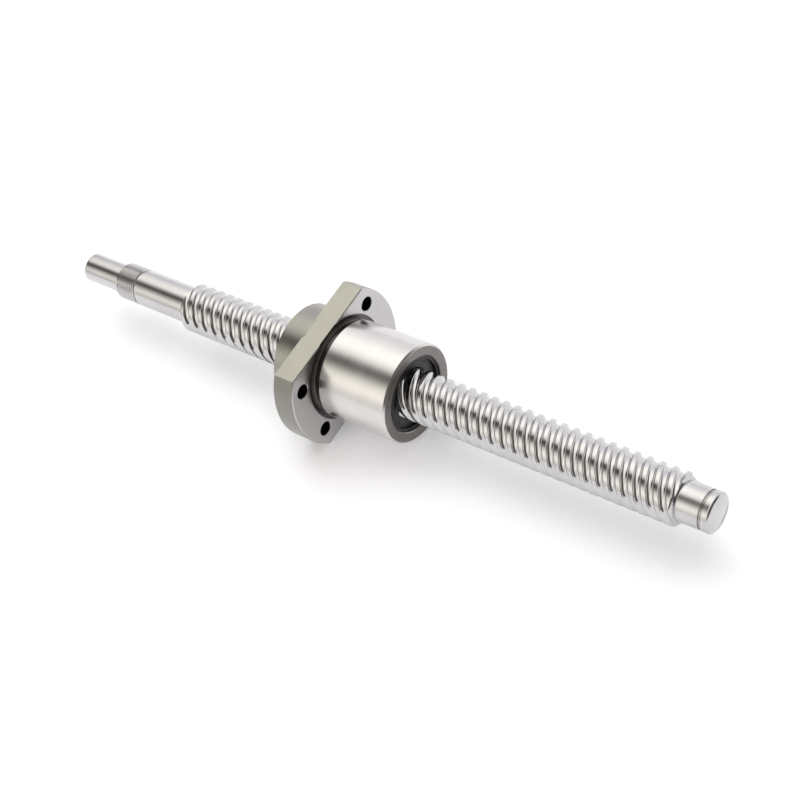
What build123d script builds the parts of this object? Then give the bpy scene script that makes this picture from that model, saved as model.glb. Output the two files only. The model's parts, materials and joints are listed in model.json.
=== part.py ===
"""Ball screw assembly: a four-start, right-hand ball screw and its flanged nut with ball-return end caps.

The frame: +X runs along the screw towards its support end, +Y along the flange's long way and +Z square to
the flange's flats. The origin is on the screw's axis, at the flange's seating face. Sizes are in millimetres.
"""

import os
from math import acos, atan, ceil, cos, degrees, floor, pi, radians, sin, sqrt

from build123d import *

# The ball thread, shared by the screw and the nut
lead = 20.0
starts = 4
ball_radius = 1.389
ball_circle_radius = 10.05
groove_radius = 1.55
crest_radius = 9.8
groove_phase = 2.27

# The screw, from its drive end to its support end
drive_end_x = -138.0
drive_end_length = 19.5
drive_end_radius = 6.0
lock_thread_length = 12.0
lock_thread_radius = 7.5
lock_thread_pitch = 1.0
lock_thread_depth = 0.613
thread_relief_width = 1.2
journal_radius = 7.5
thread_start_x = -79.0
thread_end_x = 148.0
support_end_x = 161.0
circlip_groove_offset = 9.0
circlip_groove_width = 1.15
circlip_groove_radius = 7.15
shaft_chamfer = 0.6
thread_end_chamfer = 0.8

# The nut's outside
barrel_radius = 19.5
barrel_length = 34.0
barrel_chamfer = 0.6
flange_radius = 31.0
flange_thickness = 9.5
flange_chamfer = 0.5
flat_height = 20.5
flat_edge_chamfer = 0.3
boss_radius = 19.3
boss_length = 10.5
neck_radius = 18.4
neck_length = 2.6
face_groove_inner = 19.2
face_groove_outer = 21.0
front_groove_depth = 0.4
rear_groove_depth = 1.0
bolt_circle_radius = 25.0
bolt_angle = 30.0
bolt_hole_radius = 2.75
bolt_hole_chamfer = 0.3
grease_tap_radius = 2.5
grease_tap_depth = 8.0
grease_drill_radius = 1.5

# The nut's inside
bore_radius = 10.25
raceway_centre_x = 6.0
return_circle_radius = 13.35
return_hole_radius = 1.5
channel_bend_radius = 1.9
channel_overrun = 2.0
recess_radius = 15.05
recess_depth = 2.4
recess_edge_chamfer = 0.3

# The small pieces at each end of the nut
cap_radius = 15.0
wiper_seat_radius = 12.4
wiper_seat_depth = 2.2
wiper_radius = 12.3
wiper_thickness = 2.1
wiper_clearance = 0.2
spring_ring_radius = 11.95
spring_wire_radius = 0.3
spring_channel_radius = 11.55
spring_channel_width = 0.9
pin_radius = 0.75
pin_hole_radius = 0.78
pin_length = 5.0
pin_hole_depth = 2.6
circlip_thickness = 1.2
circlip_seat_width = 1.3
circlip_seat_radius = 15.7
circlip_outer_radius = 15.6
circlip_inner_radius = 13.9
circlip_gap = 40.0
circlip_gap_angle = -66.0
circlip_lug_radius = 1.6
circlip_lug_circle_radius = 13.8
circlip_lug_hole_radius = 0.6

# The spacing of the balls, centre to centre along their path
loaded_ball_spacing = 2.86
return_ball_spacing = 3.25

# Worked out from the sizes above
front_face_x = barrel_length
rear_face_x = -flange_thickness - boss_length
lead_slope = lead / (2 * pi * ball_circle_radius)
helix_angle = degrees(atan(lead_slope))
lift_angle = degrees(acos(ball_circle_radius / return_circle_radius))
lift_length = sqrt(return_circle_radius**2 - ball_circle_radius**2)
raceway_turns = 2 - 2 * lift_angle / 360
raceway_length = raceway_turns * lead
raceway_front_x = raceway_centre_x + raceway_length / 2
raceway_rear_x = raceway_centre_x - raceway_length / 2
channel_height = lift_length * lead_slope


def polar(radius, angle):
    """The point at an angle in degrees from +Y towards +Z, in a sketch that looks along the screw."""
    return (radius * cos(radians(angle)), radius * sin(radians(angle)))


def thread_angle(x):
    """The angle, in degrees from +Y, of the first groove's centre where it crosses the plane at x."""
    return 360 * (x - groove_phase) / lead


def ball_thread_section(x, land_radius, radius, side):
    """The ball thread's section at x: land arcs, and grooves bulging inwards (side -1) or outwards (1)."""
    half_width = radius / cos(radians(helix_angle))
    edge = half_width * sqrt(1 - ((ball_circle_radius - land_radius) / radius) ** 2)
    edge_angle = 360 * edge / lead
    pitch_angle = 360 / starts
    samples = 8
    groove_direction = (0, *polar(1, thread_angle(x)))
    with BuildSketch(Plane((x, 0, 0), x_dir=groove_direction, z_dir=(1, 0, 0))) as section:
        with BuildLine():
            for start in range(starts):
                centre = start * pitch_angle
                points = []
                for i in range(samples + 1):
                    offset = edge * (2 * i / samples - 1)
                    bulge = radius * sqrt(1 - (offset / half_width) ** 2)
                    points.append(polar(ball_circle_radius + side * bulge, centre + 360 * offset / lead))
                Spline(*points)
                land = [centre + edge_angle, centre + pitch_angle / 2, centre + pitch_angle - edge_angle]
                ThreePointArc(*[polar(land_radius, angle) for angle in land])
        make_face()
    return section.sketch


def lock_thread_section(x):
    """A single-start 60 degree thread's cross-section: a crest arc and a root arc, joined by two spirals."""
    crest_half = 360 / 16
    root_half = 360 / 8
    root_radius = lock_thread_radius - lock_thread_depth
    samples = 8
    with BuildSketch(Plane.YZ.offset(x)) as section:
        with BuildLine():
            ThreePointArc(*[polar(lock_thread_radius, a) for a in (-crest_half, 0, crest_half)])
            ThreePointArc(*[polar(root_radius, a) for a in (180 - root_half, 180, 180 + root_half)])
            for side in (1, -1):
                points = []
                for i in range(samples + 1):
                    share = i / samples
                    angle = crest_half + share * (180 - root_half - crest_half)
                    points.append(polar(lock_thread_radius - share * lock_thread_depth, side * angle))
                Spline(*points)
        make_face()
    return section.sketch


def twist(section, x_from, x_to, pitch, mode=Mode.ADD):
    """Sweep a section along the screw, turning it right-handed once a pitch, with a seam every other turn."""
    spans = ceil((x_to - x_from) / (2 * pitch))
    seams = [x_from + (x_to - x_from) * i / spans for i in range(spans + 1)]
    path = Wire([Edge.make_line((a, 0, 0), (b, 0, 0)) for a, b in zip(seams, seams[1:])])
    guide = Edge.make_helix(pitch, x_to - x_from, flange_radius, center=(x_from, 0, 0), normal=(1, 0, 0))
    sweep(section, path=path, binormal=guide, mode=mode)


def turn(*outline, mode=Mode.ADD):
    """Turn a closed outline of (x, radius) points about the screw's axis."""
    with BuildSketch(Plane.XY) as profile:
        with BuildLine():
            Polyline(*outline, close=True)
        make_face()
    revolve(profile.sketch, axis=Axis.X, mode=mode)


def chamfer_thread_end(x, direction, radius, depth):
    """Take a chamfer off the end of a thread, whose end face looks in the given direction along the screw."""
    margin = 2 * depth
    turn(
        (x, radius - depth),
        (x - direction * (depth + margin), radius + margin),
        (x + direction * margin, radius + margin),
        (x + direction * margin, radius - depth),
        mode=Mode.SUBTRACT,
    )


os.makedirs("parts", exist_ok=True)

# The screw: the twisted ball thread, then the turned ends
lock_thread_x = drive_end_x + drive_end_length
journal_x = lock_thread_x + lock_thread_length
relief_x = journal_x - thread_relief_width
relief_radius = lock_thread_radius - lock_thread_depth
groove_x = thread_end_x + circlip_groove_offset

with BuildPart() as screw_shaft:
    ball_thread = ball_thread_section(thread_start_x, crest_radius, groove_radius, -1)
    twist(ball_thread, thread_start_x, thread_end_x, lead)
    chamfer_thread_end(thread_start_x, -1, crest_radius, thread_end_chamfer)
    chamfer_thread_end(thread_end_x, 1, crest_radius, thread_end_chamfer)
    # The support end: journal, circlip groove and chamfered end
    turn(
        (thread_end_x, 0),
        (thread_end_x, journal_radius),
        (groove_x, journal_radius),
        (groove_x, circlip_groove_radius),
        (groove_x + circlip_groove_width, circlip_groove_radius),
        (groove_x + circlip_groove_width, journal_radius),
        (support_end_x - shaft_chamfer, journal_radius),
        (support_end_x, journal_radius - shaft_chamfer),
        (support_end_x, 0),
    )
    # The fixed end: journal, and the relief that the lock-nut thread runs out into
    turn(
        (thread_start_x, 0),
        (thread_start_x, journal_radius),
        (journal_x, journal_radius),
        (journal_x, relief_radius),
        (relief_x, relief_radius),
        (relief_x, 0),
    )
    # The lock-nut thread and the drive end
    twist(lock_thread_section(lock_thread_x), lock_thread_x, relief_x, lock_thread_pitch)
    chamfer_thread_end(lock_thread_x, -1, lock_thread_radius, lock_thread_depth + shaft_chamfer)
    turn(
        (lock_thread_x, 0),
        (lock_thread_x, drive_end_radius),
        (drive_end_x + shaft_chamfer, drive_end_radius),
        (drive_end_x, drive_end_radius - shaft_chamfer),
        (drive_end_x, 0),
    )
screw_shaft.part.label = "screw_shaft"
export_step(screw_shaft.part, "parts/screw_shaft.step")


# The nut: barrel, two-flat flange and rear boss, then the raceways, return holes and end recesses
def bolt_holes_at():
    """The centres of the flange's four bolt holes, two at each end of the flange's long way."""
    angles = [bolt_angle, 180 - bolt_angle, 180 + bolt_angle, -bolt_angle]
    return [polar(bolt_circle_radius, angle) for angle in angles]


def return_angle(circuit):
    """Where a circuit's return hole is, in degrees from +Y."""
    return thread_angle(raceway_front_x) - circuit * 360 / starts + lift_angle


def pin_places():
    """The centres of the two dowel pins at each end of the nut, midway between return holes."""
    first = return_angle(0) + 180 / starts
    return [polar(return_circle_radius, first), polar(return_circle_radius, first + 180)]


def disc(x_from, x_to, radius, mode=Mode.ADD):
    """A plain cylinder on the screw's axis, from one x to another."""
    turn((x_from, 0), (x_from, radius), (x_to, radius), (x_to, 0), mode=mode)


with BuildPart() as nut_body:
    # The flange: a disc with chamfered rims, cut to two flats with broken edges
    turn(
        (-flange_thickness, 0),
        (-flange_thickness, flange_radius - flange_chamfer),
        (flange_chamfer - flange_thickness, flange_radius),
        (-flange_chamfer, flange_radius),
        (0, flange_radius - flange_chamfer),
        (0, 0),
    )
    with Locations((-flange_thickness / 2, 0, 0)):
        Box(flange_thickness, 2 * flange_radius, 2 * flat_height, mode=Mode.INTERSECT)
    flats = nut_body.faces().filter_by(Axis.Z)
    chamfer(flats.edges().filter_by(Axis.Y), flat_edge_chamfer)
    # Relief rings in both flange faces, deep enough to break out through the flats
    for x, depth in ((-front_groove_depth, front_groove_depth), (-flange_thickness, rear_groove_depth)):
        turn(
            (x, face_groove_inner),
            (x, face_groove_outer),
            (x + depth, face_groove_outer),
            (x + depth, face_groove_inner),
            mode=Mode.SUBTRACT,
        )
    # The barrel, with a neck beside the flange, and the boss
    turn(
        (-flange_thickness / 2, 0),
        (-flange_thickness / 2, neck_radius),
        (neck_length, neck_radius),
        (neck_length, barrel_radius - barrel_chamfer),
        (neck_length + barrel_chamfer, barrel_radius),
        (front_face_x - barrel_chamfer, barrel_radius),
        (front_face_x, barrel_radius - barrel_chamfer),
        (front_face_x, 0),
    )
    turn(
        (rear_face_x, 0),
        (rear_face_x, boss_radius - barrel_chamfer),
        (rear_face_x + barrel_chamfer, boss_radius),
        (-flange_thickness / 2, boss_radius),
        (-flange_thickness / 2, 0),
    )
    # Bolt holes, with broken edges at both faces
    with BuildSketch(Plane.YZ.offset(-flange_thickness)):
        with Locations(*bolt_holes_at()):
            Circle(bolt_hole_radius)
    extrude(amount=flange_thickness, mode=Mode.SUBTRACT)
    bolt_hole_rims = nut_body.edges().filter_by(GeomType.CIRCLE)
    bolt_hole_rims = bolt_hole_rims.filter_by(lambda rim: abs(rim.radius - bolt_hole_radius) < 0.01)
    chamfer(bolt_hole_rims, bolt_hole_chamfer)
    # The end recesses, their edges, and the seats of the retaining rings
    for face_x, inner_x, outward in ((front_face_x, raceway_front_x, 1), (rear_face_x, raceway_rear_x, -1)):
        floor_x = face_x - outward * recess_depth
        turn(
            (inner_x, 0),
            (inner_x, recess_radius),
            (floor_x, recess_radius),
            (floor_x, circlip_seat_radius),
            (floor_x + outward * circlip_seat_width, circlip_seat_radius),
            (floor_x + outward * circlip_seat_width, recess_radius),
            (face_x - outward * recess_edge_chamfer, recess_radius),
            (face_x, recess_radius + recess_edge_chamfer),
            (face_x, 0),
            mode=Mode.SUBTRACT,
        )
        with BuildSketch(Plane.YZ.offset(inner_x)):
            with Locations(*pin_places()):
                Circle(pin_hole_radius)
        extrude(amount=-outward * pin_hole_depth, mode=Mode.SUBTRACT)
    # The return holes
    with BuildSketch(Plane.YZ.offset(raceway_rear_x)):
        for circuit in range(starts):
            with Locations(polar(return_circle_radius, return_angle(circuit))):
                Circle(return_hole_radius)
    extrude(amount=raceway_length, mode=Mode.SUBTRACT)
    # The grease port in the flange's rim: a tapped hole, then a drilled way through to the raceways
    with BuildSketch(Plane.XZ.offset(-flange_radius)):
        with Locations((-flange_thickness / 2, 0)):
            Circle(grease_tap_radius)
    extrude(amount=grease_tap_depth, mode=Mode.SUBTRACT)
    with BuildSketch(Plane.XZ.offset(-flange_radius)):
        with Locations((-flange_thickness / 2, 0)):
            Circle(grease_drill_radius)
    extrude(amount=flange_radius - ball_circle_radius, mode=Mode.SUBTRACT)
    # The bore, with its four raceways
    raceways = ball_thread_section(raceway_rear_x, bore_radius, groove_radius, 1)
    twist(raceways, raceway_rear_x, raceway_front_x, lead, mode=Mode.SUBTRACT)
nut_body.part.label = "nut_body"
export_step(nut_body.part, "parts/nut_body.step")


# The balls: each circuit has a loaded helix and a way back through the nut's wall
def groove_place(x, circuit):
    """The point at x on a circuit's helix of ball centres."""
    return (x, *polar(ball_circle_radius, thread_angle(x) - circuit * 360 / starts))


def return_path(circuit, overrun=0.0):
    """The way back: off the helix along its tangent, round into the return hole, along it, and down again.

    An overrun makes both ends longer, back over the last of the helix.
    """
    angle = return_angle(circuit)
    front_corner = Vector(raceway_front_x + channel_height, *polar(return_circle_radius, angle))
    rear_corner = Vector(raceway_rear_x - channel_height, *polar(return_circle_radius, angle))
    front_end = Vector(groove_place(raceway_front_x, circuit))
    rear_end = Vector(groove_place(raceway_rear_x, circuit))
    front_end += (front_end - front_corner).normalized() * overrun
    rear_end += (rear_end - rear_corner).normalized() * overrun
    with BuildLine() as path:
        FilletPolyline(front_end, front_corner, rear_corner, rear_end, radius=channel_bend_radius)
    return path.wire()


helix_length = raceway_length / sin(radians(helix_angle))
loaded_count = floor(helix_length / loaded_ball_spacing)


def loaded_place(i, circuit):
    """The centre of one of a circuit's loaded balls, counted from the rear."""
    return groove_place(raceway_rear_x + (i + 0.5) / loaded_count * raceway_length, circuit)


for circuit in range(starts):
    with BuildPart() as balls_loaded:
        with Locations(*[loaded_place(i, circuit) for i in range(loaded_count)]):
            Sphere(ball_radius)
    balls_loaded.part.label = f"balls_loaded_{circuit + 1}"
    export_step(balls_loaded.part, f"parts/balls_loaded_{circuit + 1}.step")

    way_back = return_path(circuit)
    return_count = floor(way_back.length / return_ball_spacing)
    return_places = [way_back @ ((i + 0.5) / return_count) for i in range(return_count)]
    with BuildPart() as balls_return:
        with Locations(*return_places):
            Sphere(ball_radius)
    balls_return.part.label = f"balls_return_{circuit + 1}"
    export_step(balls_return.part, f"parts/balls_return_{circuit + 1}.step")


# The pieces at each end of the nut, drawn at x and facing outward (1 at the front, -1 at the rear)
def return_cap(inner_x, outer_x, outward):
    """The moulded insert that lifts the balls off the screw and turns them into the return holes."""
    seat_x = outer_x - outward * wiper_seat_depth
    with BuildPart() as cap:
        turn(
            (inner_x, bore_radius),
            (inner_x, cap_radius),
            (outer_x, cap_radius),
            (outer_x, wiper_seat_radius),
            (seat_x, wiper_seat_radius),
            (seat_x, bore_radius),
        )
        # The channels: the balls' own path, and room for the last two balls on the helix
        last = loaded_count - 1 if outward > 0 else 0
        for circuit in range(starts):
            with Locations(loaded_place(last, circuit), loaded_place(last - outward, circuit)):
                Sphere(return_hole_radius, mode=Mode.SUBTRACT)
            way_back = return_path(circuit, channel_overrun)
            start = way_back @ 0
            with BuildSketch(Plane(start, z_dir=way_back % 0)) as channel:
                Circle(return_hole_radius)
            sweep(channel.sketch, path=way_back, mode=Mode.SUBTRACT)
        with BuildSketch(Plane.YZ.offset(inner_x)):
            with Locations(*pin_places()):
                Circle(pin_hole_radius)
        extrude(amount=outward * pin_hole_depth, mode=Mode.SUBTRACT)
    return cap.part


def wiper(outer_x, outward):
    """The ring that follows the screw's thread closely and keeps dirt out, with a channel for its spring."""
    x_from = min(outer_x, outer_x - outward * wiper_thickness)
    x_to = x_from + wiper_thickness
    middle_x = (x_from + x_to) / 2
    channel_from = middle_x - spring_channel_width / 2
    channel_to = middle_x + spring_channel_width / 2
    with BuildPart() as ring:
        disc(x_from, x_to, wiper_radius)
        land = crest_radius + wiper_clearance
        lips = ball_thread_section(x_from, land, groove_radius - wiper_clearance, -1)
        twist(lips, x_from, x_to, lead, mode=Mode.SUBTRACT)
        turn(
            (channel_from, spring_channel_radius),
            (channel_from, wiper_radius + 1),
            (channel_to, wiper_radius + 1),
            (channel_to, spring_channel_radius),
            mode=Mode.SUBTRACT,
        )
    return ring.part


def wiper_spring(outer_x, outward):
    """The spring ring that lies in the wiper's channel and draws its lips in."""
    middle_x = outer_x - outward * wiper_thickness / 2
    with BuildPart() as ring:
        with BuildSketch(Plane.XY) as wire:
            with Locations((middle_x, spring_ring_radius)):
                Circle(spring_wire_radius)
        revolve(wire.sketch, axis=Axis.X)
    return ring.part


def retaining_ring(cap_face_x, outward):
    """The internal circlip: an open ring with a drilled lug at each side of its gap."""
    slack = (circlip_seat_width - circlip_thickness) / 2
    x_from = min(cap_face_x + outward * slack, cap_face_x + outward * (slack + circlip_thickness))
    lug_angles = [circlip_gap_angle - circlip_gap / 2, circlip_gap_angle + circlip_gap / 2]
    lug_places = [polar(circlip_lug_circle_radius, angle) for angle in lug_angles]
    gap_corners = [polar(2 * circlip_outer_radius, angle) for angle in lug_angles]
    with BuildPart() as ring:
        with BuildSketch(Plane.YZ.offset(x_from)):
            Circle(circlip_outer_radius)
            Circle(circlip_inner_radius, mode=Mode.SUBTRACT)
            with BuildLine():
                Polyline((0, 0), *gap_corners, close=True)
            make_face(mode=Mode.SUBTRACT)
            with Locations(*lug_places):
                Circle(circlip_lug_radius)
                Circle(circlip_lug_hole_radius, mode=Mode.SUBTRACT)
        extrude(amount=circlip_thickness)
    return ring.part


def dowel_pins(inner_x):
    """The two pins that hold a cap's channels in line with the raceways."""
    with BuildPart() as pins:
        with BuildSketch(Plane.YZ.offset(inner_x - pin_length / 2)):
            with Locations(*pin_places()):
                Circle(pin_radius)
        extrude(amount=pin_length)
    return pins.part


for end, face_x, inner_x, outward in (
    ("front", front_face_x, raceway_front_x, 1),
    ("rear", rear_face_x, raceway_rear_x, -1),
):
    cap_face_x = face_x - outward * recess_depth
    pieces = {
        f"return_cap_{end}": return_cap(inner_x, cap_face_x, outward),
        f"wiper_{end}": wiper(cap_face_x, outward),
        f"wiper_spring_{end}": wiper_spring(cap_face_x, outward),
        f"retaining_ring_{end}": retaining_ring(cap_face_x, outward),
        f"cap_pins_{end}": dowel_pins(inner_x),
    }
    for name, piece in pieces.items():
        piece.label = name
        export_step(piece, f"parts/{name}.step")
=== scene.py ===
"""The looks of the ball screw assembly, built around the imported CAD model. Lengths are in metres."""

import json
from math import acos, atan, cos, pi, radians, sin, sqrt

import bpy
from mathutils import Matrix, Vector


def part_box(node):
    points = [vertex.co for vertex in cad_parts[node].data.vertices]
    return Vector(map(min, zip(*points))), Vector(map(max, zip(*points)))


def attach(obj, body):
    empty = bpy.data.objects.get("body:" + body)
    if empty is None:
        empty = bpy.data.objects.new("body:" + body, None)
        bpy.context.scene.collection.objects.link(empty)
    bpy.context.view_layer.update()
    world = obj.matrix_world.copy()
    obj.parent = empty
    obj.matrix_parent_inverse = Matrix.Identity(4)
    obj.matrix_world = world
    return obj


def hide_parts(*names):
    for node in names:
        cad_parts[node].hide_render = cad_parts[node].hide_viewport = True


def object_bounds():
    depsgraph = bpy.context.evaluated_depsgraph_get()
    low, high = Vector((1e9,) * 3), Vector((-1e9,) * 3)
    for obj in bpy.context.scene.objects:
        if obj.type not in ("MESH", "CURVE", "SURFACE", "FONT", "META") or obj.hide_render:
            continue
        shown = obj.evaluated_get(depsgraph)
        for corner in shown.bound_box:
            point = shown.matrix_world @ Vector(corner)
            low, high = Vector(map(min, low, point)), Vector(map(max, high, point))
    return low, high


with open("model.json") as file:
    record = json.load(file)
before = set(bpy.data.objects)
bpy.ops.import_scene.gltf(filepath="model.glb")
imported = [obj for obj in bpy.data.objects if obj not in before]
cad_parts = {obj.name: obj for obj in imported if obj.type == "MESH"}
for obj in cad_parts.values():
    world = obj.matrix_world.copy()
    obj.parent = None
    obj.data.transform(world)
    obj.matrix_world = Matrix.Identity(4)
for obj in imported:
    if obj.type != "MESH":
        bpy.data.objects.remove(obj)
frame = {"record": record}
cad_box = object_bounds()
MM = 0.001

# Camera, floor and light
CAMERA_AZIMUTH = 57.61
CAMERA_ELEVATION = 50.59
CAMERA_ROLL = 28.8
CAMERA_DISTANCE = 0.6631
CAMERA_TARGET = Vector((0.02932, -0.0046, 0.0))
CAMERA_LENS = 80.59
FLOOR_GAP = 0.1 * MM
FLOOR_SIZE = 24.0
TABLE_GLOW = 0.14
KEY_PLACE = Vector((-0.35, 0.35, 0.8))
KEY_TARGET = Vector((0.02, 0, 0))
KEY_SIZE = 0.8
KEY_POWER = 2.6

# The screw, as the CAD model has it
LEAD = 20 * MM
STARTS = 4
BALL_CIRCLE = 10.05 * MM
GROOVE_RADIUS = 1.55 * MM
GROOVE_PHASE = 2.27 * MM
END_CHAMFER = 0.8 * MM
DRIVE_END_LENGTH = 19.5 * MM
LOCK_PITCH = 1.0 * MM
LOCK_DEPTH = 0.613 * MM
LOCK_RELIEF = 1.2 * MM
SHAFT_CHAMFER = 0.6 * MM
CIRCLIP_GROOVE_RADIUS = 7.15 * MM
CIRCLIP_GROOVE_WIDTH = 1.15 * MM

# What its skin adds: rounded edges, and the spacing of the rings that it is made of
LAND_EDGE_RADIUS = 0.25 * MM
MICRO_BEVEL = 0.12 * MM
END_DISC_RADIUS = 0.5 * MM
RING_STEP = 0.35 * MM
LOCK_RING_STEP = 1 / 16 * MM
SUPPORT_GAP = 0.3 * MM
SHARP_ANGLE = 40
# The shares of the fine thread's turn that its root and its two flanks take
LOCK_ROOT = 0.125
LOCK_FLANKS = 0.625

# Where the surfaces change from one finish to another, and where the painted shade of the nut's reliefs and
# the screw's fine thread begins and ends; inside the inner radius none of them reach
NECK_END_X = 3.2 * MM
INNER_RADIUS = 15.0 * MM
RIB_OUTER_RADIUS = 19.2 * MM
RELIEF_RADIUS = 21.0 * MM
BOSS_START_X = -9.7 * MM
END_FACE_RADIUS = 18.8 * MM
BARREL_SKIN = 0.7 * MM
FACE_BAND = 0.15 * MM
EDGE_BAND = 0.1 * MM
FLANGE_FACE = (-0.3 * MM, 0.2 * MM)
# The share of the fine thread's depth below which its roots are painted near-black: painted shade in the
# thread's creases
PAINTED_SHADE_ROOT_SHARE = 0.85

# How fine the surfaces' patterns are, for each metre
TOOL_RINGS = 9000.0
STEEL_CLOUDS = 90.0
PLASTIC_GRAIN = 2500.0
PLASTIC_CLOUDS = 200.0
TABLE_CLOUDS = 6.0


def add_object(name, data):
    """A new object in the scene's collection."""
    obj = bpy.data.objects.new(name, data)
    bpy.context.scene.collection.objects.link(obj)
    return obj


def find_mount(name):
    """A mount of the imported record."""
    return next(m for m in frame["record"]["mounts"] if m["name"] == name)


def mount(name):
    """A round mount: its place along the screw's axis, its radius and its length, in metres."""
    found = find_mount(name)
    size = found["dims"]
    return found["pos_m"][0], size["r_mm"] * MM, size["length_mm"] * MM


def make_camera():
    """The camera looks at its target from an azimuth and elevation, rolled about its own line of sight."""
    azimuth = radians(CAMERA_AZIMUTH)
    elevation = radians(CAMERA_ELEVATION)
    forward = Vector((-sin(azimuth) * cos(elevation), cos(azimuth) * cos(elevation), -sin(elevation)))
    level = forward.to_track_quat("-Z", "Y").to_matrix()
    rolled = level @ Matrix.Rotation(radians(-CAMERA_ROLL), 3, "Z")
    data = bpy.data.cameras.new("camera")
    data.lens = CAMERA_LENS
    camera = add_object("camera", data)
    place = Matrix.Translation(CAMERA_TARGET - forward * CAMERA_DISTANCE)
    camera.matrix_world = place @ rolled.to_4x4()
    bpy.context.scene.camera = camera


# The screw's visible mesh: rings of points along the axis, joined into one closed skin
def groove_profile():
    """One start's (axial offset, radius) points: the ball groove, its rounded edges and half of each land."""
    slope = atan(LEAD / (2 * pi * BALL_CIRCLE))
    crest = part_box("screw_shaft")[1][2]
    drop = BALL_CIRCLE - crest + LAND_EDGE_RADIUS
    reach = GROOVE_RADIUS + LAND_EDGE_RADIUS
    edge_centre = sqrt(reach**2 - drop**2)
    tilt = acos(drop / reach)
    half_pitch = LEAD / STARTS / 2 * cos(slope)
    groove_steps = 7
    edge_steps = 4
    side = []
    for i in range(groove_steps + 1):
        angle = tilt * i / groove_steps
        side.append((GROOVE_RADIUS * sin(angle), BALL_CIRCLE - GROOVE_RADIUS * cos(angle)))
    for i in range(1, edge_steps + 1):
        angle = tilt * (1 - i / edge_steps)
        across = edge_centre - LAND_EDGE_RADIUS * sin(angle)
        side.append((across, crest - LAND_EDGE_RADIUS + LAND_EDGE_RADIUS * cos(angle)))
    land_steps = 2
    for i in range(1, land_steps + 1):
        side.append((edge_centre + (half_pitch - edge_centre) * i / land_steps, crest))
    both = [(-x, r) for x, r in reversed(side[1:-1])] + side
    return [(x / cos(slope), r) for x, r in both]


def thread_rings(points, start_x, end_x, shoulder_radius):
    """Rings of the ball thread, each turned with the helix, and chamfered down at both ends."""
    crest = max(r for _, r in points)
    count = round((end_x - start_x) / RING_STEP)
    stations = [start_x + (end_x - start_x) * i / count for i in range(count + 1)]
    rings = []
    for x in stations:
        limit = crest - END_CHAMFER + min(x - start_x, end_x - x)
        ring = []
        for start in range(STARTS):
            for offset, radius in points:
                angle = 2 * pi * ((x - GROOVE_PHASE + offset) / LEAD + start / STARTS)
                ring.append((angle, max(min(radius, limit), shoulder_radius)))
        rings.append((x, ring))
    return rings


def plain_ring(x, radius, angles):
    """A round ring, with its points at the given angles."""
    return (x, [(angle, radius) for angle in angles])


def supported(outline):
    """The outline with a point added near both ends of each long cylinder, to keep its shading level."""
    points = [outline[0]]
    for (x, radius), (next_x, next_radius) in zip(outline, outline[1:]):
        if radius == next_radius and next_x - x > 4 * SUPPORT_GAP:
            points += [(x + SUPPORT_GAP, radius), (next_x - SUPPORT_GAP, radius)]
        points.append((next_x, next_radius))
    return points


def lock_thread_rings(x_from, x_to, crest, angles):
    """Rings of the single-start fine thread: the radius rises and falls once round each ring."""
    rings = []
    count = round((x_to - x_from) / LOCK_RING_STEP)
    for i in range(count + 1):
        x = x_from + (x_to - x_from) * i / count
        limit = crest - LOCK_DEPTH - SHAFT_CHAMFER + (x - x_from)
        ring = []
        for angle in angles:
            turn = (angle / (2 * pi) - (x - x_from) / LOCK_PITCH) % 1
            share = min(max((abs(2 * turn - 1) - LOCK_ROOT) / LOCK_FLANKS, 0), 1)
            ring.append((angle, min(crest - LOCK_DEPTH * (1 - share), limit)))
        rings.append((x, ring))
    return rings


def skin(name, rings):
    """A closed mesh from rings of (angle, radius) points: faces between rings, and a disc at each end."""
    count = len(rings[0][1])
    vertices = []
    for x, ring in rings:
        vertices += [(x, radius * cos(angle), radius * sin(angle)) for angle, radius in ring]
    faces = [tuple(range(count)), tuple(reversed(range(len(vertices) - count, len(vertices))))]
    for i in range(len(rings) - 1):
        for j in range(count):
            here = i * count + j
            beside = i * count + (j + 1) % count
            faces.append((here, here + count, beside + count, beside))
    mesh = bpy.data.meshes.new(name)
    mesh.from_pydata(vertices, [], faces)
    mesh.shade_smooth()
    mesh.set_sharp_from_angle(angle=radians(SHARP_ANGLE))
    return add_object(name, mesh)


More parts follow.
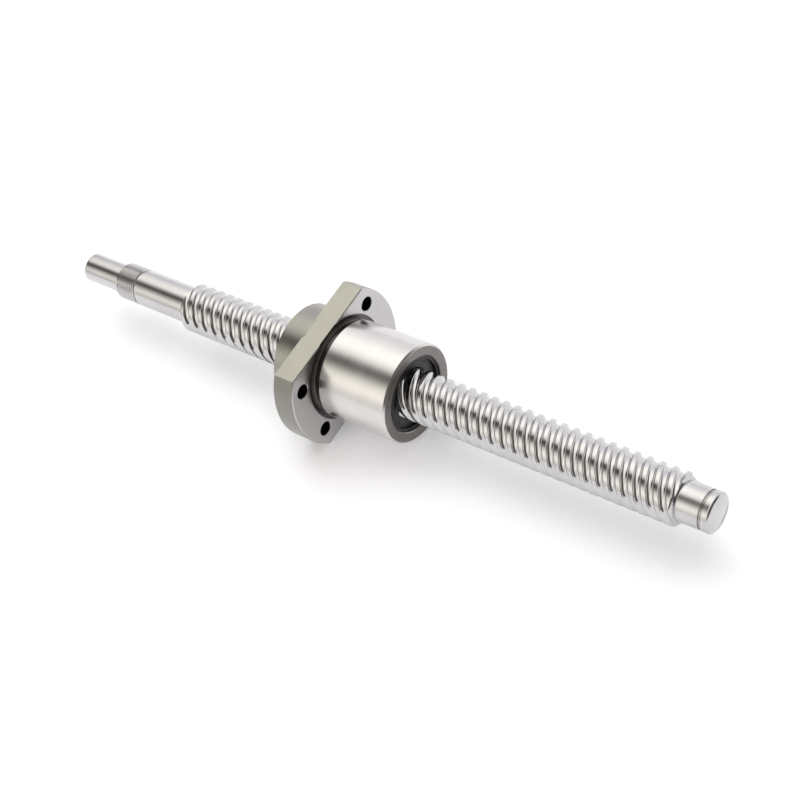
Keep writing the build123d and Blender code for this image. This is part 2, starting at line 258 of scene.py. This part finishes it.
def make_screw():
    """The whole screw as one skin, from its drive end to its support end."""
    drive_radius = mount("drive_end")[1]
    fixed_x, journal_radius, fixed_length = mount("fixed_end_journal")
    support_x, support_radius, support_length = mount("support_end_journal")
    lowest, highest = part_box("screw_shaft")
    lock_x = lowest[0] + DRIVE_END_LENGTH
    start_x = fixed_x + fixed_length / 2
    end_x = support_x - support_length / 2
    journal_x = fixed_x - fixed_length / 2
    relief_x = journal_x - LOCK_RELIEF
    groove_x = support_x + support_length / 2
    groove_end_x = groove_x + CIRCLIP_GROOVE_WIDTH
    thread = thread_rings(groove_profile(), start_x, end_x, journal_radius)
    left_angles = [angle for angle, _ in thread[0][1]]
    right_angles = [angle for angle, _ in thread[-1][1]]

    rings = []

    def turned(outline, angles):
        for x, radius in supported(outline):
            rings.append(plain_ring(x, radius, angles))

    turned(
        [
            (lowest[0], END_DISC_RADIUS),
            (lowest[0], drive_radius - SHAFT_CHAMFER - MICRO_BEVEL),
            (lowest[0] + MICRO_BEVEL / 2, drive_radius - SHAFT_CHAMFER),
            (lowest[0] + SHAFT_CHAMFER, drive_radius - MICRO_BEVEL / 2),
            (lowest[0] + SHAFT_CHAMFER + MICRO_BEVEL, drive_radius),
            (lock_x, drive_radius),
        ],
        left_angles,
    )
    rings += lock_thread_rings(lock_x, relief_x, journal_radius, left_angles)
    turned(
        [
            (relief_x, journal_radius - LOCK_DEPTH),
            (journal_x, journal_radius - LOCK_DEPTH),
            (journal_x, journal_radius - MICRO_BEVEL),
            (journal_x + MICRO_BEVEL, journal_radius),
            (start_x, journal_radius),
        ],
        left_angles,
    )
    rings += thread
    turned(
        [
            (end_x + SUPPORT_GAP, support_radius),
            (groove_x - MICRO_BEVEL / 2, support_radius),
            (groove_x, support_radius - MICRO_BEVEL / 2),
            (groove_x, CIRCLIP_GROOVE_RADIUS),
            (groove_end_x, CIRCLIP_GROOVE_RADIUS),
            (groove_end_x, support_radius - MICRO_BEVEL / 2),
            (groove_end_x + MICRO_BEVEL / 2, support_radius),
            (highest[0] - SHAFT_CHAMFER - MICRO_BEVEL, support_radius),
            (highest[0] - SHAFT_CHAMFER, support_radius - MICRO_BEVEL / 2),
            (highest[0] - MICRO_BEVEL / 2, support_radius - SHAFT_CHAMFER),
            (highest[0], support_radius - SHAFT_CHAMFER - MICRO_BEVEL),
            (highest[0], END_DISC_RADIUS),
        ],
        right_angles,
    )
    screw = skin("screw_skin", rings)
    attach(screw, "screw")
    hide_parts("screw_shaft")
    return screw


# Materials
class Nodes:
    """A material's nodes, added one at a time and wired by the input's name, or by its number as i0 or i1."""

    def __init__(self, name):
        self.material = bpy.data.materials.new(name)
        self.material.use_nodes = True
        self.tree = self.material.node_tree
        self.shader = self.tree.nodes["Principled BSDF"]

    def add(self, kind, settings=None, **inputs):
        node = self.tree.nodes.new(kind)
        for key, value in (settings or {}).items():
            setattr(node, key, value)
        for key, value in inputs.items():
            numbered = key[0] == "i" and key[1:].isdigit()
            self.put(value, node.inputs[int(key[1:]) if numbered else key])
        return node

    def put(self, value, socket):
        """Wire an output to a socket, or set the socket's own value."""
        if isinstance(value, bpy.types.NodeSocket):
            self.tree.links.new(value, socket)
        else:
            socket.default_value = value

    def maths(self, operation, a, b=0.0):
        return self.add("ShaderNodeMath", {"operation": operation}, i0=a, i1=b).outputs[0]

    def both(self, a, b):
        return self.maths("MULTIPLY", a, b)

    def distance(self, a, b):
        """How far the point with these two coordinates is from the origin."""
        return self.maths("SQRT", self.maths("ADD", self.both(a, a), self.both(b, b)))

    def inside(self, value, low, high):
        """One where a value lies between two others, and nought elsewhere."""
        above = self.maths("GREATER_THAN", value, low)
        below = self.maths("LESS_THAN", value, high)
        return self.both(above, below)

    def mix(self, share, a, b):
        """Two colours mixed: the second one's share is given."""
        node = self.add("ShaderNodeMix", {"data_type": "RGBA"}, i0=share, i6=a, i7=b)
        return node.outputs[2]

    def result_range(self, share, low, high):
        """The value from low to high that a share from nought to one stands for."""
        return self.maths("ADD", self.maths("MULTIPLY", share, high - low), low)

    def place(self):
        return self.add("ShaderNodeTexCoord").outputs["Object"]

    def split(self, vector):
        return self.add("ShaderNodeSeparateXYZ", Vector=vector).outputs

    def ramp(self, value, *stops):
        """A colour ramp through (position, grey or colour) stops."""
        node = self.add("ShaderNodeValToRGB", Fac=value)
        elements = node.color_ramp.elements
        while len(elements) < len(stops):
            elements.new(0.5)
        for element, (position, colour) in zip(elements, stops):
            element.position = position
            element.color = (*colour, 1) if isinstance(colour, tuple) else (colour, colour, colour, 1)
        return node.outputs["Color"]

    def lathe_vector(self, along, across, around):
        """Coordinates for turned work: distance along the axis, distance from it, and the angle round it."""
        x, y, z = self.split(self.place())
        angle = self.maths("ARCTAN2", z, y)
        parts = [
            self.maths("MULTIPLY", x, along),
            self.maths("MULTIPLY", self.distance(y, z), across),
            self.maths("MULTIPLY", angle, around),
        ]
        return self.add("ShaderNodeCombineXYZ", i0=parts[0], i1=parts[1], i2=parts[2]).outputs[0]

    def noise(self, vector, scale, detail=3.0):
        return self.add("ShaderNodeTexNoise", Vector=vector, Scale=scale, Detail=detail).outputs["Fac"]


def steel_wear(nodes):
    """The marks that all the steel carries: the tool's fine rings, and those mixed with cloudy stains."""
    rings = nodes.noise(nodes.lathe_vector(TOOL_RINGS, TOOL_RINGS, 1.5), 1.0, 4.0)
    clouds = nodes.noise(nodes.place(), STEEL_CLOUDS, 4.0)
    mixed = nodes.maths("ADD", nodes.maths("MULTIPLY", rings, 0.55), nodes.maths("MULTIPLY", clouds, 0.45))
    return rings, mixed


def two_tone(nodes, pattern, dark, light):
    """A colour that wanders between a darker and a lighter one with a pattern."""
    return nodes.ramp(pattern, (0.3, dark), (0.7, light))


def finish_steel(nodes, colour, roughness, spread, rings, mixed, groove_depth):
    """Wire up a steel: its colour, a roughness varied about the one given, and a bump from its rings."""
    shader = nodes.shader
    shader.inputs["Metallic"].default_value = 1.0
    nodes.put(colour, shader.inputs["Base Color"])
    change = nodes.maths("MULTIPLY", nodes.maths("SUBTRACT", mixed, 0.5), 2 * spread)
    nodes.put(nodes.maths("ADD", roughness, change), shader.inputs["Roughness"])
    bump = nodes.add("ShaderNodeBump", Strength=groove_depth, Distance=0.02 * MM, Height=rings)
    nodes.put(bump.outputs[0], shader.inputs["Normal"])
    return nodes.material


def steel(name, dark, light, roughness, spread, groove_depth):
    """Ground or polished steel, the same all over."""
    nodes = Nodes(name)
    rings, mixed = steel_wear(nodes)
    colour = two_tone(nodes, mixed, dark, light)
    return finish_steel(nodes, colour, roughness, spread, rings, mixed, groove_depth)


def screw_steel():
    """The screw: a polished thread, ground journals, and painted shade in the circlip groove and in the lock
    thread's roots.
    """
    nodes = Nodes("polished_screw_steel")
    rings, mixed = steel_wear(nodes)
    along, across, height = nodes.split(nodes.place())
    radius = nodes.distance(across, height)
    fixed_x, journal_radius, fixed_length = mount("fixed_end_journal")
    support_x, support_radius, support_length = mount("support_end_journal")
    thread = nodes.inside(along, fixed_x + fixed_length / 2, support_x - support_length / 2)
    groove_x = support_x + support_length / 2
    groove_end_x = groove_x + CIRCLIP_GROOVE_WIDTH
    # The circlip groove's mask: painted shade, a darker steel colour in the recess
    painted_shade_groove = nodes.inside(along, groove_x - FACE_BAND / 3, groove_end_x + FACE_BAND / 3)
    painted_shade_groove = nodes.both(painted_shade_groove, nodes.maths("LESS_THAN", radius, support_radius - FACE_BAND))
    lock_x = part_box("screw_shaft")[0][0] + DRIVE_END_LENGTH
    lock_end_x = fixed_x - fixed_length / 2 - LOCK_RELIEF
    # Below this radius the fine thread's roots get painted shade
    root_radius = journal_radius - PAINTED_SHADE_ROOT_SHARE * LOCK_DEPTH
    lock_roots = nodes.inside(along, lock_x + SHAFT_CHAMFER, lock_end_x)
    lock_roots = nodes.both(lock_roots, nodes.maths("LESS_THAN", radius, root_radius))

    colour = two_tone(nodes, mixed, (0.5, 0.495, 0.505), (0.6, 0.595, 0.595))
    # Painted shade for the circlip groove
    painted_groove_shade = two_tone(nodes, mixed, (0.28, 0.27, 0.26), (0.36, 0.35, 0.34))
    # Painted shade for the roots of the fine thread
    painted_root_shade = two_tone(nodes, mixed, (0.16, 0.16, 0.155), (0.22, 0.215, 0.21))
    colour = nodes.mix(painted_shade_groove, colour, painted_groove_shade)
    colour = nodes.mix(lock_roots, colour, painted_root_shade)
    gloss = nodes.result_range(thread, 0.19, 0.09)
    return finish_steel(nodes, colour, gloss, 0.04, rings, mixed, 0.12)


def nut_steel():
    """The nut: a ground barrel, duller machined sides, and near-black painted shade in the reliefs by the
    flange and in the drilled holes.
    """
    nodes = Nodes("nut_steel")
    rings, mixed = steel_wear(nodes)
    along, across, height = nodes.split(nodes.place())
    radius = nodes.distance(across, height)
    front_x, rim_radius, flat_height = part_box("nut_body")[1]
    barrel_radius = mount("nut_barrel")[1]
    holes = find_mount("flange_bolts")["dims"]

    # Each surface's mask, by where it lies along the axis and how far from it
    boss = nodes.maths("LESS_THAN", along, BOSS_START_X)
    rim = nodes.maths("GREATER_THAN", radius, rim_radius - FACE_BAND)
    barrel = nodes.both(
        nodes.inside(along, NECK_END_X + EDGE_BAND, front_x + MM),
        nodes.inside(radius, barrel_radius - BARREL_SKIN, barrel_radius + MM),
    )
    face = nodes.both(nodes.inside(along, *FLANGE_FACE), nodes.maths("GREATER_THAN", radius, RELIEF_RADIUS))
    end = nodes.both(
        nodes.inside(along, front_x - EDGE_BAND, front_x + MM),
        nodes.inside(radius, INNER_RADIUS, END_FACE_RADIUS),
    )
    off_flats = nodes.inside(height, -flat_height + FACE_BAND, flat_height - FACE_BAND)
    # The groove in the flange face and the neck before the barrel are recesses given painted shade, a
    # near-black colour
    painted_shade_groove = nodes.both(
        nodes.inside(along, -MM, FACE_BAND),
        nodes.inside(radius, RIB_OUTER_RADIUS, RELIEF_RADIUS),
    )
    painted_shade_groove = nodes.both(painted_shade_groove, off_flats)
    painted_shade_neck = nodes.both(
        nodes.inside(along, FACE_BAND, NECK_END_X),
        nodes.inside(radius, INNER_RADIUS, barrel_radius),
    )
    # The bolt holes' steel walls are painted near-black: painted shade inside the holes
    off_hole = nodes.distance(
        nodes.maths("SUBTRACT", nodes.maths("ABSOLUTE", across), holes["spacing_x_mm"] / 2 * MM),
        nodes.maths("SUBTRACT", nodes.maths("ABSOLUTE", height), holes["spacing_y_mm"] / 2 * MM),
    )
    painted_shade_hole = nodes.maths("LESS_THAN", off_hole, holes["hole_r_mm"] * MM + FACE_BAND)

    colour = two_tone(nodes, mixed, (0.32, 0.31, 0.27), (0.41, 0.4, 0.36))
    # The surfaces' finishes, and the painted shade in the recesses and holes
    finishes_and_painted_shade = (
        (boss, (0.27, 0.265, 0.24), (0.35, 0.345, 0.315)),
        (rim, (0.21, 0.205, 0.185), (0.28, 0.275, 0.25)),
        (barrel, (0.58, 0.57, 0.56), (0.68, 0.67, 0.66)),
        (face, (0.49, 0.48, 0.475), (0.58, 0.57, 0.565)),
        (end, (0.17, 0.155, 0.15), (0.25, 0.235, 0.225)),
        # Painted shade in the face groove and the neck
        (painted_shade_groove, (0.07, 0.06, 0.065), (0.14, 0.125, 0.13)),
        (painted_shade_neck, (0.07, 0.06, 0.065), (0.14, 0.125, 0.13)),
        # Painted shade inside the bolt holes
        (painted_shade_hole, (0.012, 0.014, 0.013), (0.03, 0.034, 0.032)),
    )
    for mask, dark, light in finishes_and_painted_shade:
        colour = nodes.mix(mask, colour, two_tone(nodes, mixed, dark, light))
    gloss = nodes.result_range(barrel, 0.3, 0.24)
    return finish_steel(nodes, colour, gloss, 0.1, rings, mixed, 0.3)


def plastic(name, dark, light, roughness):
    """Black moulded plastic: a fine spark-eroded texture and slightly uneven gloss."""
    nodes = Nodes(name)
    shader = nodes.shader
    place = nodes.place()
    grain = nodes.noise(place, PLASTIC_GRAIN)
    clouds = nodes.noise(place, PLASTIC_CLOUDS)
    nodes.put(nodes.ramp(clouds, (0.35, dark), (0.7, light)), shader.inputs["Base Color"])
    nodes.put(nodes.ramp(grain, (0.3, roughness - 0.08), (0.7, roughness + 0.08)), shader.inputs["Roughness"])
    bump = nodes.add("ShaderNodeBump", Strength=0.3, Distance=0.03 * MM, Height=grain)
    nodes.put(bump.outputs[0], shader.inputs["Normal"])
    return nodes.material


def give(material, *names):
    """Put a material in every material slot of the named CAD nodes."""
    for name in names:
        for slot in bpy.data.objects[name].material_slots:
            slot.material = material


def finish_surfaces(screw):
    """Every visible surface gets its own finish."""
    ground = steel("ground_small_steel", (0.56, 0.55, 0.53), (0.68, 0.67, 0.65), 0.27, 0.05, 0.3)
    chrome = steel("ball_steel", (0.75, 0.75, 0.76), (0.85, 0.85, 0.85), 0.08, 0.02, 0.02)
    dark_ring = steel("blackened_steel", (0.05, 0.045, 0.05), (0.09, 0.085, 0.09), 0.38, 0.06, 0.2)
    cap = plastic("black_acetal", (0.016, 0.014, 0.018), (0.03, 0.027, 0.033), 0.42)
    screw.data.materials.append(screw_steel())
    give(nut_steel(), "nut_body")
    give(ground, "cap_pins_front", "cap_pins_rear", "wiper_spring_front", "wiper_spring_rear")
    give(dark_ring, "retaining_ring_front", "retaining_ring_rear")
    give(cap, "return_cap_front", "return_cap_rear", "wiper_front", "wiper_rear")
    for circuit in range(1, STARTS + 1):
        give(chrome, f"balls_loaded_{circuit}", f"balls_return_{circuit}")


def make_floor():
    """A plain white table that the flange's lower flat rests on."""
    height = cad_box[0][2] - FLOOR_GAP
    half = FLOOR_SIZE / 2
    corners = [(-half, -half, height), (half, -half, height), (half, half, height), (-half, half, height)]
    mesh = bpy.data.meshes.new("floor")
    mesh.from_pydata(corners, [], [(0, 1, 2, 3)])
    floor = add_object("floor", mesh)
    nodes = Nodes("table_white")
    shader = nodes.shader
    clouds = nodes.noise(nodes.place(), TABLE_CLOUDS)
    nodes.put(two_tone(nodes, clouds, (0.9, 0.905, 0.95), (0.92, 0.925, 0.97)), shader.inputs["Base Color"])
    shader.inputs["Roughness"].default_value = 0.9
    shader.inputs["Specular IOR Level"].default_value = 0.0
    shader.inputs["Emission Color"].default_value = (0.98, 0.98, 1.0, 1.0)
    shader.inputs["Emission Strength"].default_value = TABLE_GLOW
    mesh.materials.append(nodes.material)


# The studio's radiance by the angle of a direction about the screw's axis, in degrees: 0 is +Y and 90 is up
STUDIO = [
    (0, (1.02, 1.0, 1.03)),
    (24, (1.2, 1.17, 1.2)),
    (40, (1.47, 1.44, 1.42)),
    (52, (1.75, 1.72, 1.62)),
    (70, (1.75, 1.72, 1.62)),
    (80, (1.5, 1.47, 1.4)),
    (90, (0.95, 0.93, 0.9)),
    (97, (0.3, 0.29, 0.27)),
    (102, (0.12, 0.12, 0.11)),
    (110, (0.12, 0.12, 0.11)),
    (117, (0.3, 0.29, 0.27)),
    (124, (0.65, 0.63, 0.58)),
    (131, (1.1, 1.07, 0.98)),
    (140, (1.37, 1.32, 1.2)),
    (149, (1.6, 1.54, 1.42)),
    (158, (1.45, 1.39, 1.3)),
    (168, (1.13, 1.08, 1.01)),
    (180, (0.85, 0.81, 0.77)),
]
STUDIO_PEAK = 1.75
# The dark gap overhead: between which angles it lies, and how far along the screw it is full, and gone
GAP_STARTS = 85
GAP_ENDS = 125
GAP_FULL_X = -0.4
GAP_GONE_X = -0.1
# The dark end walls: how far along the screw a direction points where they start and where they are darkest,
# and how dark they are; the shift makes the support end's wall the wider one
END_WALL_SHIFT = 0.12
END_WALL_STARTS = 0.5
END_WALL_FULL = 0.72
END_WALL_SHARE = 0.1


def make_studio():
    """Soft light all round: bright boxes on both sides of a dark gap overhead, and dark walls at the ends."""
    world = bpy.data.worlds.new("studio")
    bpy.context.scene.world = world
    world.use_nodes = True
    tree = world.node_tree

    def add(kind, operation=None, inputs=()):
        node = tree.nodes.new(kind)
        if operation:
            node.operation = operation
        for socket, value in zip(node.inputs, inputs):
            if isinstance(value, bpy.types.NodeSocket):
                tree.links.new(value, socket)
            else:
                socket.default_value = value
        return node

    def mapped(value, low, high, to_low, to_high):
        return add("ShaderNodeMapRange", inputs=(value, low, high, to_low, to_high)).outputs[0]

    def ramp(share, stops):
        node = add("ShaderNodeValToRGB", inputs=(share,))
        elements = node.color_ramp.elements
        while len(elements) < len(stops):
            elements.new(0.5)
        for element, (degrees_round, colour) in zip(elements, stops):
            element.position = degrees_round / 180
            element.color = (*[part / STUDIO_PEAK for part in colour], 1)
        return node.outputs[0]

    place = add("ShaderNodeTexCoord").outputs["Generated"]
    along, across, height = add("ShaderNodeSeparateXYZ", inputs=(place,)).outputs
    angle = add("ShaderNodeMath", "ARCTAN2", (height, across)).outputs[0]
    share = add("ShaderNodeMath", "DIVIDE", (angle, pi)).outputs[0]
    with_gap = ramp(share, STUDIO)
    without_gap = ramp(share, [stop for stop in STUDIO if not GAP_STARTS < stop[0] < GAP_ENDS])
    gap_share = mapped(along, GAP_FULL_X, GAP_GONE_X, 0.0, 1.0)
    mix = tree.nodes.new("ShaderNodeMix")
    mix.data_type = "RGBA"
    tree.links.new(gap_share, mix.inputs[0])
    tree.links.new(with_gap, mix.inputs[6])
    tree.links.new(without_gap, mix.inputs[7])
    shifted = add("ShaderNodeMath", "ADD", (along, END_WALL_SHIFT)).outputs[0]
    sideways = add("ShaderNodeMath", "ABSOLUTE", (shifted,)).outputs[0]
    strength = mapped(sideways, END_WALL_STARTS, END_WALL_FULL, STUDIO_PEAK, STUDIO_PEAK * END_WALL_SHARE)
    background = tree.nodes["Background"]
    tree.links.new(mix.outputs[2], background.inputs["Color"])
    tree.links.new(strength, background.inputs["Strength"])


def make_key_light():
    """One large soft lamp above and behind, for the shadow under the nut."""
    data = bpy.data.lights.new("key", "AREA")
    data.shape = "RECTANGLE"
    data.size = KEY_SIZE
    data.size_y = KEY_SIZE
    data.energy = KEY_POWER
    lamp = add_object("key", data)
    lamp.location = KEY_PLACE
    aim = (KEY_TARGET - KEY_PLACE).to_track_quat("-Z", "Y")
    lamp.rotation_euler = aim.to_euler()
    lamp.visible_glossy = False


make_camera()
screw = make_screw()
finish_surfaces(screw)
make_floor()
make_studio()
make_key_light()

view = bpy.context.scene.view_settings
view.view_transform = "Standard"
view.look = "None"
